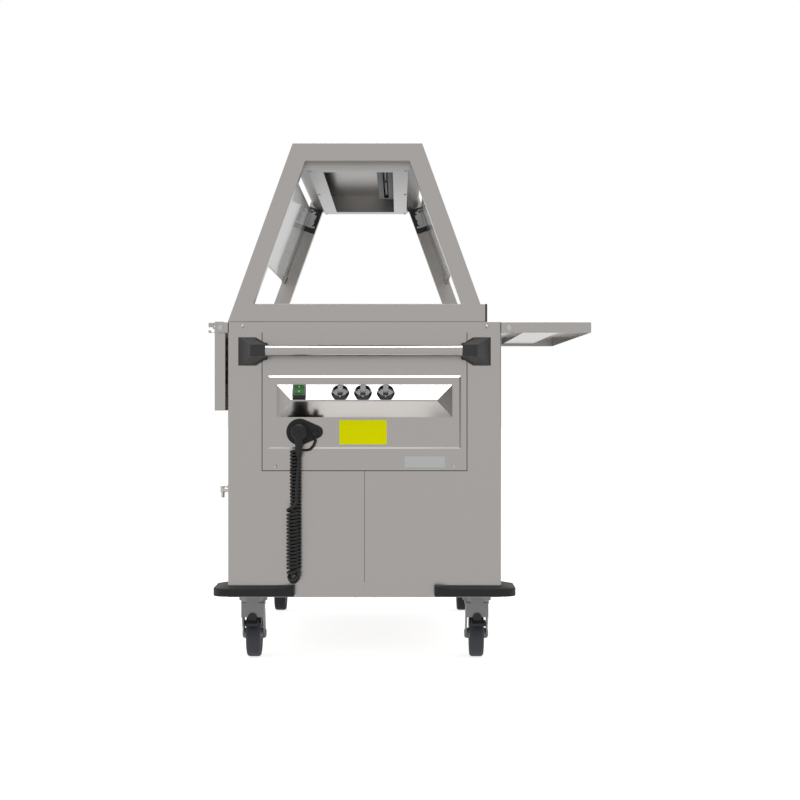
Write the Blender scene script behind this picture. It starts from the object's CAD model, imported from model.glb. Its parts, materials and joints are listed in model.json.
import json
import math

import bmesh
import bpy
from mathutils import Matrix, Vector

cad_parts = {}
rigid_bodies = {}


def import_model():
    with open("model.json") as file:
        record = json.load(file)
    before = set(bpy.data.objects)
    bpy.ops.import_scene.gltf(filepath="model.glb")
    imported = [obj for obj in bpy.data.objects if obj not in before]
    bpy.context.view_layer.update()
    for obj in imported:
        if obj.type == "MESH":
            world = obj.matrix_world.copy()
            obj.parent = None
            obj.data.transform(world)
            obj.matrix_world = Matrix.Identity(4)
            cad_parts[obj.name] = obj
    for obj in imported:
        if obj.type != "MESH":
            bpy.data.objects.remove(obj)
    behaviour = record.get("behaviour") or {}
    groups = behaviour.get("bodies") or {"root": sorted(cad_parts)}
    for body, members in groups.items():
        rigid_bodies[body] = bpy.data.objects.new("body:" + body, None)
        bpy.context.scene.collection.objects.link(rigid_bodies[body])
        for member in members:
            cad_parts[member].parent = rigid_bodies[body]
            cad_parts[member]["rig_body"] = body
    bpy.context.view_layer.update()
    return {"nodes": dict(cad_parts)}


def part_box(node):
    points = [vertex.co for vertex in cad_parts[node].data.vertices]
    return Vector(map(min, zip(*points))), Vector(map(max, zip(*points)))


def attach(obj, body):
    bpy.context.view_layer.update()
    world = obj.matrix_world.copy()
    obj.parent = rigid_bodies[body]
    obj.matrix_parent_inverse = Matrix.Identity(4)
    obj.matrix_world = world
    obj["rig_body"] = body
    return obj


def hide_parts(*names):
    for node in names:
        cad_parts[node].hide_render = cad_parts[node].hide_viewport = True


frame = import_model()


# Camera: level, square to the near end and a little to the right of the cabinet's centre, at
# the photograph's viewing angle. Its place, like every place below, is measured from the
# worktop's centre line, from the end with the push handle and from the floor.
worktop_low, worktop_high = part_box("worktop")
centre_x = (worktop_low.x + worktop_high.x) / 2
camera_distance = 4.706
camera_right = 0.0939
camera_height = 0.6915
camera_lens = 79.95
camera_sensor = 36
horizon_drop = 0.0009


def placed(x, y, z):
    return Vector((centre_x + x, worktop_low.y + y, z))


def linked(name, data):
    """A new object in the scene, at the origin and unturned."""
    thing = bpy.data.objects.new(name, data)
    bpy.context.scene.collection.objects.link(thing)
    return thing


camera_data = bpy.data.cameras.new("camera")
camera_data.lens = camera_lens
camera_data.sensor_width = camera_sensor
camera_data.shift_y = horizon_drop
camera = linked("camera", camera_data)
camera.location = placed(camera_right, -camera_distance, camera_height)
camera.rotation_euler = (math.pi / 2, 0, 0)
bpy.context.scene.camera = camera
bpy.context.scene.view_settings.view_transform = "Standard"


# Supply cord: curly mains lead in black rubber. It leaves the parking socket's lobe, hangs in
# curls down the cover, turns and comes up again, and ends in the moulded plug's neck.
# Its route repeats the source's, whose points are the same in millimetres.
class Field:
    """A number, colour or vector that changes over a surface: one socket of a node tree."""

    def __init__(self, nodes, socket):
        self.nodes = nodes
        self.socket = socket

    def __add__(self, other):
        return self.nodes.maths("ADD", self, other)

    def __sub__(self, other):
        return self.nodes.maths("SUBTRACT", self, other)

    def __rsub__(self, other):
        return self.nodes.maths("SUBTRACT", other, self)

    def __mul__(self, other):
        return self.nodes.maths("MULTIPLY", self, other)

    __radd__ = __add__
    __rmul__ = __mul__


class Nodes:
    """A node tree. node() adds any node and gives back one of its outputs."""

    def __init__(self, tree):
        self.tree = tree

    def node(self, kind, settings=None, inputs=None, output=0):
        made = self.tree.nodes.new(kind)
        for key, value in (settings or {}).items():
            setattr(made, key, value)
        for key, value in (inputs or {}).items():
            self.feed(made.inputs[key], value)
        return Field(self, made.outputs[output])

    def feed(self, socket, value):
        if isinstance(value, Field):
            self.tree.links.new(value.socket, socket)
        else:
            socket.default_value = value

    def maths(self, operation, first, second=0.0):
        return self.node("ShaderNodeMath", {"operation": operation}, {0: first, 1: second})

    def ray(self, kind):
        """1 for a ray of that kind, 0 for any other."""
        return self.node("ShaderNodeLightPath", output=f"Is {kind} Ray")

    def ranged(self, value, low, high, at_low, at_high):
        """A number that goes from at_low to at_high while value goes from low to high."""
        inputs = {"Value": value, "From Min": low, "From Max": high, "To Min": at_low, "To Max": at_high}
        return self.node("ShaderNodeMapRange", {}, inputs)


class Finish(Nodes):
    """A material, with the patterns that its sockets are fed from."""

    def __init__(self, name):
        self.material = bpy.data.materials.new(name)
        self.material.use_nodes = True
        super().__init__(self.material.node_tree)
        self.shader = self.tree.nodes["Principled BSDF"]

    def set(self, **sockets):
        for key, value in sockets.items():
            self.feed(self.shader.inputs[key.replace("_", " ")], value)

    def place(self, scale=(1, 1, 1)):
        here = self.node("ShaderNodeTexCoord", output="Object")
        return self.node("ShaderNodeMapping", {}, {"Vector": here, "Scale": scale})

    def noise(self, size, stretch=(1, 1, 1), detail=3):
        """Soft noise from 0 to 1, its features about that size in metres."""
        inputs = {"Vector": self.place(stretch), "Scale": 1 / size, "Detail": detail}
        return self.node("ShaderNodeTexNoise", {}, inputs, "Fac")

    def blend(self, factor, first, second):
        """Mix of two colours, the node's sockets 6 and 7, which comes out of its output 2."""
        settings = {"data_type": "RGBA"}
        return self.node("ShaderNodeMix", settings, {0: factor, 6: first, 7: second}, 2)

    def bumps(self, height, depth):
        """Surface relief, depth in metres where height is 1."""
        return self.node("ShaderNodeBump", {}, {"Height": height, "Distance": depth, "Strength": 1.0})


def shade(colour, factor=1.0):
    """A colour made darker or lighter, as four numbers."""
    return (*[channel * factor for channel in colour], 1.0)


cord_thickness = 0.0075
coil_x, coil_y = -0.1815, -0.021
coil_top, coil_turn_z, coil_front_top = 0.561, 0.251, 0.398
coil_front_x = -0.1875
coil_turn_r = 0.025
curl_r = 0.01175
curl_pitch = 0.0091
turn_curls = 5
curl_steps = 16
entry_r = 0.010
entry_angles = (0, 30, 60)
# The last curl opens out over the length of two, and rises to the tail.
out_curls = 2
out_rise = 0.026
neck_bottom = (-0.1715, -0.045, 0.545)
lead_route = [
    (-0.130, -0.020, 0.598),
    (-0.130, -0.020, 0.584),
    (-0.1345, -0.018, 0.572),
    (-0.1435, -0.013, 0.563),
]
tail_route = [
    (-0.1755, -0.066, 0.470),
    (-0.1735, -0.054, 0.505),
    (-0.1715, -0.046, 0.534),
]


def curly_route():
    """The coil's middle line: in at the top, down, round the turn, up in front and out."""
    start_x = coil_x + curl_r + entry_r
    points = [(start_x + cord_thickness, coil_y + entry_r, coil_top)]
    for degrees in entry_angles:
        angle = math.radians(degrees)
        points.append((start_x - entry_r * math.sin(angle), coil_y + entry_r * math.cos(angle), coil_top))

    down_steps = round((coil_top - coil_turn_z) / curl_pitch) * curl_steps
    for k in range(down_steps):
        angle, done = -2 * math.pi * k / curl_steps, k / down_steps
        points.append((coil_x + curl_r * math.cos(angle), coil_y + curl_r * math.sin(angle),
                       coil_top + (coil_turn_z - coil_top) * done))

    turn_steps = turn_curls * curl_steps
    for k in range(turn_steps):
        angle, done = -2 * math.pi * k / curl_steps, k / turn_steps
        reach = coil_turn_r + curl_r * math.sin(angle)
        points.append((coil_x + (coil_front_x - coil_x) * done + curl_r * math.cos(angle),
                       coil_y - coil_turn_r + reach * math.cos(math.pi * done),
                       coil_turn_z - reach * math.sin(math.pi * done)))

    front_y = coil_y - 2 * coil_turn_r
    up_steps = round((coil_front_top - coil_turn_z) / curl_pitch) * curl_steps
    for k in range(up_steps):
        angle, done = -2 * math.pi * k / curl_steps, k / up_steps
        points.append((coil_front_x + curl_r * math.cos(angle), front_y - curl_r * math.sin(angle),
                       coil_turn_z + (coil_front_top - coil_turn_z) * done))

    out_steps = out_curls * curl_steps
    for k in range(out_steps + 1):
        done = k / out_steps
        angle = -2 * math.pi * (1 - (1 - done) ** 2)
        points.append((coil_front_x + curl_r * math.cos(angle), front_y - curl_r * math.sin(angle),
                       coil_front_top + out_curls * curl_pitch * done + out_rise * done ** 2))
    x, y, z = points[-1]
    points.append((x, y, z + cord_thickness))
    return points


cord_points = [placed(*p) for p in lead_route + curly_route() + tail_route + [neck_bottom]]
cord_curve = bpy.data.curves.new("supply_cord", "CURVE")
cord_curve.dimensions = "3D"
cord_curve.bevel_depth = cord_thickness / 2
cord_curve.bevel_resolution = 4
cord_curve.use_fill_caps = True
spline = cord_curve.splines.new("POLY")
spline.points.add(len(cord_points) - 1)
for place, point in zip(spline.points, cord_points):
    place.co = (*point, 1)
supply_cord = linked("supply_cord", cord_curve)

cord_black = (0.013, 0.013, 0.0135)
cord_dust_size = 0.012
cord_pore_size, cord_pore_depth = 0.0012, 0.00004
rubber = Finish("cord_rubber")
dust = rubber.noise(cord_dust_size)
rubber.set(Base_Color=rubber.blend(dust, shade(cord_black, 0.8), shade(cord_black, 1.5)),
           Roughness=0.38 + 0.14 * dust, Specular_IOR_Level=0.3,
           Normal=rubber.bumps(rubber.noise(cord_pore_size), cord_pore_depth))
cord_curve.materials.append(rubber.material)
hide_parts("cord_lead", "cord_coil", "cord_tail")
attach(supply_cord, "cabinet")


# Studio: white world, pale floor with a faint shadow, and one wide soft lamp overhead. The
# steel also mirrors a darker wall far to the right and a bright card on the near floor.
lit_share = 0.75
wall_from, wall_to = 0.86, 0.98
wall_light = 0.1

world = bpy.data.worlds.new("studio")
world.use_nodes = True
bpy.context.scene.world = world
background = world.node_tree.nodes["Background"]
background.inputs["Color"].default_value = (1, 1, 1, 1)
studio = Nodes(world.node_tree)
mirror_ray = studio.ray("Glossy")
mirrored_or_seen = studio.maths("MAXIMUM", studio.ray("Camera"), mirror_ray)
seen = studio.maths("MAXIMUM", mirrored_or_seen, studio.ray("Transmission"))
way = studio.node("ShaderNodeTexCoord", output="Generated")
rightward = studio.node("ShaderNodeSeparateXYZ", {}, {"Vector": way}, "X")
wall = studio.ranged(rightward, wall_from, wall_to, 0.0, 1.0 - wall_light)
studio.feed(background.inputs["Strength"], lit_share + (1 - lit_share) * seen - wall * mirror_ray)

floor_size = 40
floor_white = 0.85
floor_lift = 0.75
card_ahead = 0.04
card_light, card_edge = 1.45, 0.08
far_light, far_edge = 0.36, 0.15

floor_mesh = bpy.data.meshes.new("floor")
floor_build = bmesh.new()
bmesh.ops.create_grid(floor_build, x_segments=1, y_segments=1, size=floor_size)
floor_build.to_mesh(floor_mesh)
floor_build.free()
studio_floor = linked("studio_floor", floor_mesh)
ground = Finish("studio_ground")
ahead = ground.node("ShaderNodeSeparateXYZ", {}, {"Vector": ground.place()}, "Y")
from_card = ground.maths("ABSOLUTE", ahead - worktop_low.y + card_ahead)
card = ground.ranged(from_card, card_edge, far_edge, card_light, far_light)
lifted = (ground.ray("Camera") + ground.ray("Transmission")) * floor_lift
ground.set(Base_Color=shade((floor_white,) * 3), Roughness=0.9, Specular_IOR_Level=0.0,
           Emission_Color=lifted + ground.ray("Glossy") * card, Emission_Strength=1.0)
floor_mesh.materials.append(ground.material)

lamp_size = 2.2
lamp_height = 3.6
lamp_nearer = 0.35
lamp_power = 95

lamp_data = bpy.data.lights.new("overhead", "AREA")
lamp_data.shape = "SQUARE"
lamp_data.size = lamp_size
lamp_data.energy = lamp_power
overhead = linked("overhead", lamp_data)
overhead.location = (0, -lamp_nearer, lamp_height)
overhead.visible_diffuse = False


# Cabinet: folded stainless sheet with a fine ground finish. The skin is two C-shaped halves
# that meet at a seam, on a welded pan, round four angle posts. A black foam seal lies on the
# folded lip behind the cover's edge and in the seam.
merge_within = 0.000002
flat_angle = math.radians(0.5)
sharp_angle = math.radians(28)
smooth_angle = math.radians(50)
broad_face_weight = 90


def eased(node, finish, width=0, segments=2, flats=True, smooth=smooth_angle):
    """A node's solid with its edges eased by a small radius, which stands for the node."""
    mesh = frame["nodes"][node].data.copy()
    build = bmesh.new()
    build.from_mesh(mesh)
    bmesh.ops.remove_doubles(build, verts=build.verts, dist=merge_within)
    if flats:
        bmesh.ops.dissolve_limit(build, angle_limit=flat_angle, verts=build.verts, edges=build.edges)
    if width:
        edges = [e for e in build.edges if len(e.link_faces) == 2 and e.calc_face_angle() > sharp_angle]
        bmesh.ops.bevel(build, geom=edges, offset=width, offset_type="OFFSET", segments=segments,
                        profile=0.5, affect="EDGES", clamp_overlap=True, material=-1)
    for face in build.faces:
        face.smooth = True
    build.to_mesh(mesh)
    build.free()
    mesh.set_sharp_from_angle(angle=smooth)
    mesh.materials.clear()
    mesh.materials.append(finish.material)
    piece = linked(node + "_shown", mesh)
    evened = piece.modifiers.new("evened", "WEIGHTED_NORMAL")
    evened.keep_sharp = True
    evened.weight = broad_face_weight
    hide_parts(node)
    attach(piece, frame["nodes"][node]["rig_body"])
    return piece


line_contrast = 0.015
steel_cloud_size, cloud_glint = 0.35, 0.01


def ground_steel(name, colour, roughness, grain, relief=0.0000015, glint=0.04, line=0.0006):
    """Stainless sheet ground along the axis whose number in grain is small."""
    finish = Finish(name)
    lines = finish.noise(line, grain, detail=4)
    cloud = finish.noise(steel_cloud_size)
    darker, paler = shade(colour, 1 - line_contrast), shade(colour, 1 + line_contrast)
    finish.set(Base_Color=finish.blend(lines, darker, paler), Metallic=1.0,
               Roughness=roughness + glint * lines + cloud_glint * cloud,
               Normal=finish.bumps(lines, relief))
    return finish


cabinet_grey = (0.378, 0.360, 0.345)
upright_grain = (1, 1, 0.02)
lengthwise_grain = (1, 0.02, 1)
crosswise_grain = (0.02, 1, 1)
no_grain = (1, 1, 1)
sheet_t = 0.002
lip_within = sheet_t / 4
squarely_from = 0.9
foam_cell_size = 0.0007
foam_black, foam_worn = (0.004, 0.004, 0.004), (0.009, 0.009, 0.009)

cabinet_steel = ground_steel("cabinet_steel", cabinet_grey, roughness=0.20, grain=upright_grain)
eased("base_frame", cabinet_steel)
seal_foam = Finish("seal_foam")
foam_cells = seal_foam.noise(foam_cell_size)
seal_foam.set(Base_Color=seal_foam.blend(foam_cells, shade(foam_black), shade(foam_worn)),
              Roughness=0.8 + 0.15 * foam_cells, Specular_IOR_Level=0.1)
for part in ("cladding_left", "cladding_right"):
    skin = eased(part, cabinet_steel)
    skin.data.materials.append(seal_foam.material)
    for face in skin.data.polygons:
        on_lip = abs(face.center.y - worktop_low.y - sheet_t) < lip_within
        if on_lip and face.normal.y < -squarely_from:
            face.material_index = 1
frame["nodes"]["corner_posts"].data.materials.clear()
frame["nodes"]["corner_posts"].data.materials.append(cabinet_steel.material)


# Worktop: one stainless sheet with the wells' openings cut out, ground lengthwise and folded
# down all round. The guard stands on it and the wells hang from it.
worktop_smooth = math.radians(12)
worktop_steel = ground_steel("worktop_steel", cabinet_grey, roughness=0.18, grain=lengthwise_grain)
eased("worktop", worktop_steel, flats=False, smooth=worktop_smooth)


# Wells: three basins deep-drawn in bright stainless sheet and welded under the worktop by
# their flanges, with flat enamelled heating plates below.
well_grey = (0.50, 0.49, 0.48)
well_edge = 0.0008
heater_dark, heater_pale = (0.06, 0.06, 0.06), (0.12, 0.11, 0.11)
heater_cloud_size = 0.03
heater_edge = 0.001
well_steel = ground_steel("well_steel", well_grey, roughness=0.24, grain=no_grain,
                          relief=0.0000002, glint=0.02, line=0.02)
for part in ("well_near", "well_middle", "well_far"):
    eased(part, well_steel, well_edge)
heater = Finish("heater_enamel")
heater_cloud = heater.noise(heater_cloud_size)
heater.set(Base_Color=heater.blend(heater_cloud, shade(heater_dark), shade(heater_pale)),
           Roughness=0.6 + 0.2 * heater_cloud)
eased("well_heaters", heater, heater_edge)


# Control cover: one pressed stainless sheet with a raised field and the console for the
# knobs, screwed over the skin's folded lip. Two foils are stuck on it, both left blank: the
# yellow notice on the raised field and the silver rating plate below.
cover_edge = 0.0005
foil_t = 0.0004
foil_corner = 0.0012
raised_field_y = -0.004
notice_low, notice_high = (-0.0665, 0.576), (0.0585, 0.640)
rating_low, rating_high = (0.1065, 0.515), (0.213, 0.544)
notice_deep, notice_pale = (0.90, 0.90, 0.001), (0.98, 0.98, 0.002)
notice_cloud_size = 0.004
rating_deep, rating_pale = (0.56, 0.57, 0.57), (0.64, 0.65, 0.65)
rating_line_size = 0.001

eased("control_cover", cabinet_steel, cover_edge)


def foil(name, finish, face_y, low, high):
    """A thin foil with rounded corners on a front face, from one corner to the other."""
    near_corner = placed(low[0], face_y - foil_t, low[1])
    far_corner = placed(high[0], face_y, high[1])
    mesh = bpy.data.meshes.new(name)
    build = bmesh.new()
    bmesh.ops.create_cube(build, size=1)
    bmesh.ops.scale(build, vec=far_corner - near_corner, verts=build.verts)
    bmesh.ops.translate(build, vec=(near_corner + far_corner) / 2, verts=build.verts)
    corners = [e for e in build.edges if abs((e.verts[0].co - e.verts[1].co).y) > foil_t / 2]
    bmesh.ops.bevel(build, geom=corners, offset=foil_corner, offset_type="OFFSET", segments=3,
                    profile=0.5, affect="EDGES", clamp_overlap=True, material=-1)
    build.to_mesh(mesh)
    build.free()
    mesh.materials.append(finish.material)
    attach(linked(name, mesh), "cabinet")


notice_yellow = Finish("notice_foil")
print_cloud = notice_yellow.noise(notice_cloud_size)
notice_yellow.set(Base_Color=notice_yellow.blend(print_cloud, shade(notice_deep), shade(notice_pale)),
                  Roughness=0.45 + 0.1 * print_cloud, Specular_IOR_Level=0.0)
foil("notice_plate", notice_yellow, raised_field_y, notice_low, notice_high)
rating_silver = Finish("rating_foil")
foil_lines = rating_silver.noise(rating_line_size, lengthwise_grain)
rating_silver.set(Base_Color=rating_silver.blend(foil_lines, shade(rating_deep), shade(rating_pale)),
                  Roughness=0.4 + 0.1 * foil_lines)
foil("rating_plate", rating_silver, 0, rating_low, rating_high)


# Knobs: black moulded plastic with a raised grip bar and a white dot printed on the side, on
# the shafts of the thermostats behind the console. Knobs and switch stand on the console's
# upper face, which leans back by 45 degrees.
knob_black = (0.024, 0.024, 0.026)
black = (0.02, 0.02, 0.021)
white = (0.88, 0.88, 0.87)
knob_edge = 0.0012
knob_smooth = math.radians(12)
knob_places = {"left": -0.0635, "middle": -0.0035, "right": 0.0565}
# A mark's place: up the console's slope, out from it, and how far it is tipped over.
pointer_up, pointer_out, pointer_tip = -0.02166, 0.0084, math.radians(73.3)
pointer_r = 0.0014
lean = math.radians(45)
slope_middle_y, slope_middle_z = -0.024, 0.714
control_drop = 0.003
plastic_cloud_size, cloud_contrast = 0.02, 0.15
grain_glint = 0.1


def moulded(name, colour, roughness, grain_size=0.0008, relief=0.00003, specular=0.45):
    """Moulded plastic with a fine even grain."""
    finish = Finish(name)
    grain = finish.noise(grain_size)
    cloud = finish.noise(plastic_cloud_size)
    darker, paler = shade(colour, 1 - cloud_contrast), shade(colour, 1 + cloud_contrast)
    finish.set(Base_Color=finish.blend(cloud, darker, paler), Specular_IOR_Level=specular,
               Roughness=roughness + grain_glint * grain, Normal=finish.bumps(grain, relief))
    return finish


def on_console(x, up, out, tip=0.0):
    """Turn and place for a thing on the console: up its slope, and out from it."""
    here = placed(x, slope_middle_y, slope_middle_z)
    here += Vector((0, math.cos(lean), math.sin(lean))) * (up - control_drop)
    here += Vector((0, -math.sin(lean), math.cos(lean))) * out
    return Matrix.Translation(here) @ Matrix.Rotation(lean + tip, 4, "X")


def mark(name, body, finish, place, outer, inner=0.0, thick=0.0002, steps=24):
    """A thin round mark, with a hole where inner isn't 0."""
    mesh = bpy.data.meshes.new(name)
    build = bmesh.new()
    section = [Vector((r, 0, z)) for r, z in ((outer, 0), (outer, thick), (inner, thick), (inner, 0))]
    corners = [build.verts.new(point) for point in section]
    edges = [build.edges.new((corners[k], corners[(k + 1) % 4])) for k in range(4 if inner else 3)]
    bmesh.ops.spin(build, geom=corners + edges, cent=(0, 0, 0), axis=(0, 0, 1), angle=2 * math.pi,
                   steps=steps, use_merge=True, use_duplicate=False)
    bmesh.ops.remove_doubles(build, verts=build.verts, dist=merge_within)
    bmesh.ops.recalc_face_normals(build, faces=build.faces)
    bmesh.ops.transform(build, matrix=place, verts=build.verts)
    build.to_mesh(mesh)
    build.free()
    mesh.materials.append(finish.material)
    piece = linked(name, mesh)
    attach(piece, body)


knob_plastic = moulded("knob_plastic", knob_black, roughness=0.12, relief=0.00001)
black_plastic = moulded("black_plastic", black, roughness=0.36)
mark_white = moulded("mark_white", white, roughness=0.5)
for side, knob_x in knob_places.items():
    eased("knob_" + side, knob_plastic, knob_edge, segments=3, smooth=knob_smooth)
    mark("pointer_" + side, "dial_" + side, mark_white,
         on_console(knob_x, pointer_up, pointer_out, pointer_tip), pointer_r)
eased("thermostats", black_plastic)


# Switch: a green moulded rocker in a black housing, let into the console. A dot is printed at
# the rocker's upper end and a ring at its lower one.
rocker_x = -0.1715
rocker_green = (0.022, 0.19, 0.03)
switch_edge = 0.0006
dot_up, dot_out, dot_tip = 0.0076, 0.0160, math.radians(19.2)
dot_r = 0.0016
ring_up, ring_out, ring_tip = -0.0069, 0.0134, math.radians(-3.2)
ring_r, ring_hole_r = 0.0021, 0.0009
green = moulded("rocker_green", rocker_green, roughness=0.3, specular=0.12)
eased("switch_housing", black_plastic, switch_edge)
eased("switch_rocker", green, switch_edge)
mark("rocker_dot", "rocker", mark_white,
     on_console(rocker_x, dot_up, dot_out, dot_tip), dot_r)
mark("rocker_ring", "rocker", mark_white,
     on_console(rocker_x, ring_up, ring_out, ring_tip), ring_r, ring_hole_r)


# Push handle: ground steel tube between two moulded black brackets. Each bracket has a foot
# on the cabinet's near end, a pyramid, and a head that holds the tube's end.
tube_grey = (0.37, 0.36, 0.35)
bracket_black = (0.015, 0.015, 0.016)
bracket_edge = 0.004
tube_steel = ground_steel("tube_steel", tube_grey, roughness=0.18, grain=crosswise_grain)
eased("handle_tube", tube_steel)
bracket_plastic = moulded("bracket_plastic", bracket_black, roughness=0.3)
eased("handle_brackets", bracket_plastic, bracket_edge, segments=3)


# Corner bumpers: soft grey-black plastic round the cabinet's four corners at its foot, with a
# flat outer face and a top that slopes up to the skin.
bumper_black = (0.013, 0.013, 0.0125)
bumper_edge = 0.0015
bumper_plastic = moulded("bumper_plastic", bumper_black, roughness=0.5,
                         grain_size=0.0012, relief=0.00006, specular=0.3)
eased("corner_bumpers", bumper_plastic, bumper_edge, segments=3)


# Guard: two frames welded from square steel tube, whose foot bars stand on grey rubber
# strips. Black plastic caps close the ends of the bars.
guard_edge = 0.0012
cap_edge = 0.0005
strip_t = 0.00105
strip_grey = (0.30, 0.295, 0.285)
guard_steel = ground_steel("guard_steel", cabinet_grey, roughness=0.20, grain=no_grain)
for part in ("guard_frame_near", "guard_frame_far"):
    eased(part, guard_steel, guard_edge, segments=3)
caps = eased("frame_caps", black_plastic, cap_edge)
strip_rubber = moulded("strip_rubber", strip_grey, roughness=0.6)
caps.data.materials.append(strip_rubber.material)
for face in caps.data.polygons:
    if face.center.z < worktop_high.z + strip_t:
        face.material_index = 1


# Canopy: a housing folded from stainless sheet between the guard's frames, closed below by a
# screwed plate. A painted, slotted box under its top holds the heat lamps by ceramic ends.
plate_grey = (0.41, 0.41, 0.41)
fixture_grey = (0.075, 0.075, 0.08)
ceramic_white = (0.40, 0.39, 0.37)
canopy_edge = 0.0004
fixture_edge = 0.0005
lamp_edge = 0.0004
canopy_steel = ground_steel("canopy_steel", cabinet_grey, roughness=0.26, grain=lengthwise_grain)
eased("canopy_housing", canopy_steel, canopy_edge)
plate_steel = ground_steel("plate_steel", plate_grey, roughness=0.3, grain=lengthwise_grain)
eased("canopy_base_plate", plate_steel, canopy_edge)
fixture_paint = moulded("fixture_paint", fixture_grey, roughness=0.45)
eased("lamp_fixture", fixture_paint, fixture_edge)
ceramic = moulded("lamp_ceramic", ceramic_white, roughness=0.4)
eased("heat_lamps", ceramic, lamp_edge)


# Flaps: toughened glass panes with ground edges, clips at their lower corners, and
# zinc-plated hinge plates screwed to them. They turn on pins in black plates, each held to a
# leg of the guard by two screws.
flap_lean = math.radians(19.93)
guard_x = -0.019
pivot_x, pivot_z = 0.17694, 1.315
cabinet_length = worktop_high.y - worktop_low.y
leg_depth = 0.048
mount_ends = (("near", leg_depth, -90), ("far", cabinet_length - leg_depth, 90))
mount_screws = (("upper", -0.0108, -0.0004), ("lower", -0.0225, -0.0472))
mount_screw_r = 0.0033
mount_edge = 0.0004
glass_grey = (0.45, 0.46, 0.46)
glass_smear_size = 0.05
edge_deep, edge_pale = (0.30, 0.31, 0.31), (0.36, 0.37, 0.37)
arris_deep, arris_pale = (0.03, 0.03, 0.03), (0.05, 0.05, 0.05)
edge_cloud_size = 0.01
pane_edge = 0.0014
# How squarely a face looks the pane's way: under the first it is the rim, under the second
# the ground arris beside it.
rim_below, arris_below = 0.2, 0.99
zinc_grey = (0.46, 0.46, 0.46)
fitting_edge = 0.0004

eased("flap_mounts", black_plastic, mount_edge)
for side, turn in (("left", -1), ("right", 1)):
    for end, y, degrees in mount_ends:
        for step, across, along in mount_screws:
            x = guard_x + turn * (pivot_x + across * math.cos(flap_lean) - along * math.sin(flap_lean))
            z = pivot_z + across * math.sin(flap_lean) + along * math.cos(flap_lean)
            flat = Matrix.Translation(placed(x, y, z)) @ Matrix.Rotation(math.radians(degrees), 4, "X")
            name = f"mount_screw_{end}_{side}_{step}"
            mark(name, "cabinet", mark_white, flat, mount_screw_r)

flap_glass = Finish("flap_glass")
smear = flap_glass.noise(glass_smear_size)
slant = flap_glass.node("ShaderNodeLayerWeight", {}, {"Blend": 0.5}, "Facing")
flap_glass.set(Base_Color=shade(glass_grey), Roughness=0.06 + 0.02 * smear, Specular_IOR_Level=0.2,
               Alpha=0.12 + 0.58 * slant)
glass_edge = Finish("flap_glass_edge")
edge_cloud = glass_edge.noise(edge_cloud_size)
glass_edge.set(Base_Color=glass_edge.blend(edge_cloud, shade(edge_deep), shade(edge_pale)),
               Roughness=0.2, Alpha=0.8)
glass_arris = Finish("flap_glass_arris")
arris_cloud = glass_arris.noise(edge_cloud_size)
glass_arris.set(Base_Color=glass_arris.blend(arris_cloud, shade(arris_deep), shade(arris_pale)),
                Roughness=0.25)
zinc = ground_steel("zinc_steel", zinc_grey, roughness=0.28, grain=no_grain)
for side in ("left", "right"):
    pane = eased("flap_glass_" + side, flap_glass, pane_edge, segments=1)
    pane.data.materials.append(glass_edge.material)
    pane.data.materials.append(glass_arris.material)
    broad = max(pane.data.polygons, key=lambda face: face.area).normal.copy()
    for face in pane.data.polygons:
        squarely = abs(face.normal.dot(broad))
        if squarely < rim_below:
            face.material_index = 1
        elif squarely < arris_below:
            face.material_index = 2
    eased("flap_fittings_" + side, zinc, fitting_edge)


# Side shelves: trays folded from stainless sheet with a stiffener welded under each. They turn
# on zinc-plated pins in end brackets, and hooked plates lock a raised one.
shelf_edge = 0.0006
pin_edge = 0.0005
hook_edge = 0.0005
shelf_steel = ground_steel("shelf_steel", cabinet_grey, roughness=0.18, grain=lengthwise_grain)
for side in ("left", "right"):
    eased("shelf_" + side, shelf_steel, shelf_edge)
eased("shelf_pivots", zinc, pin_edge)
eased("hook_plates", cabinet_steel, hook_edge)


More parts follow.
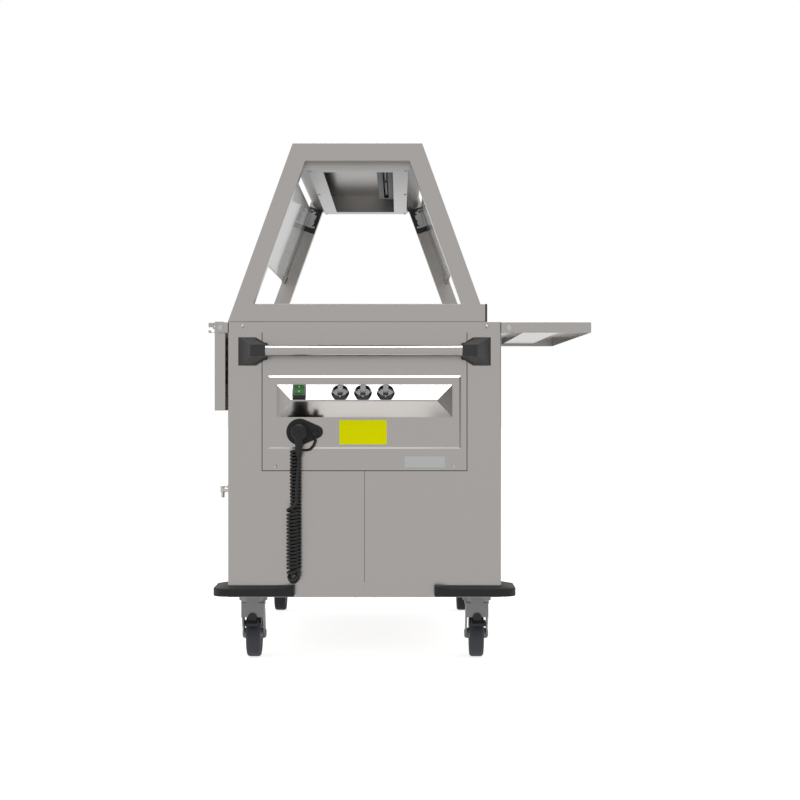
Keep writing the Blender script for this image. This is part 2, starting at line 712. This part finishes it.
# Drains: a pipe from each well's floor to a nickel-plated cock on the left side, with a flat
# zinc-plated lever on its stem.
nickel_grey = (0.52, 0.50, 0.46)
valve_edge = 0.0006
lever_edge = 0.0004
nickel = ground_steel("nickel_plate", nickel_grey, roughness=0.22, grain=no_grain)
eased("drain_valves", nickel, valve_edge)
for end in ("near", "middle", "far"):
    eased("drain_lever_" + end, zinc, lever_edge)


# Parking socket and plug: both moulded in black plastic. The socket is a pear-shaped plate on
# the raised field, with a collar round the plug, and the lead comes out of its lobe.
socket_black = (0.012, 0.012, 0.0125)
socket_edge = 0.0012
plug_edge = 0.001
socket_plastic = moulded("socket_plastic", socket_black, roughness=0.4, specular=0.3)
eased("plug_holder", socket_plastic, socket_edge)
eased("plug", socket_plastic, plug_edge)


# Casters: zinc-plated top plates and pressed forks, and grey moulded wheels with black hub
# ends and slate-coloured rubber tyres. The near two have a brake pedal.
fork_grey = (0.19, 0.19, 0.19)
fork_grain = (1, 1, 0.1)
tyre_slate = (0.032, 0.034, 0.042)
rim_grey = (0.34, 0.35, 0.36)
pedal_black = (0.020, 0.022, 0.026)
caster_plate_edge = 0.0006
fork_edge = 0.0012
rim_edge = 0.0006
pedal_edge = 0.0015
hub_black_from = 0.0175
fork_zinc = ground_steel("fork_zinc", fork_grey, roughness=0.34, grain=fork_grain)
eased("caster_plates", fork_zinc, caster_plate_edge)
tyre_rubber = moulded("tyre_rubber", tyre_slate, roughness=0.5,
                      grain_size=0.001, relief=0.00005, specular=0.3)
rim_plastic = moulded("rim_plastic", rim_grey, roughness=0.4)
pedal_plastic = moulded("pedal_plastic", pedal_black, roughness=0.4, specular=0.3)
for end in ("near", "far"):
    for side in ("left", "right"):
        eased(f"fork_{end}_{side}", fork_zinc, fork_edge)
        eased(f"tyre_{end}_{side}", tyre_rubber)
        rim = eased(f"rim_{end}_{side}", rim_plastic, rim_edge)
        rim.data.materials.append(black_plastic.material)
        middle_x = sum(corner[0] for corner in rim.bound_box) / len(rim.bound_box)
        for face in rim.data.polygons:
            if abs(face.center.x - middle_x) > hub_black_from:
                face.material_index = 1
for side in ("left", "right"):
    eased("pedal_near_" + side, pedal_plastic, pedal_edge)


# Screws: zinc-plated, with domed heads, in the worktop's corners, the cover, the canopy's
# plate and the floor pan.
eased("panel_screws", zinc)
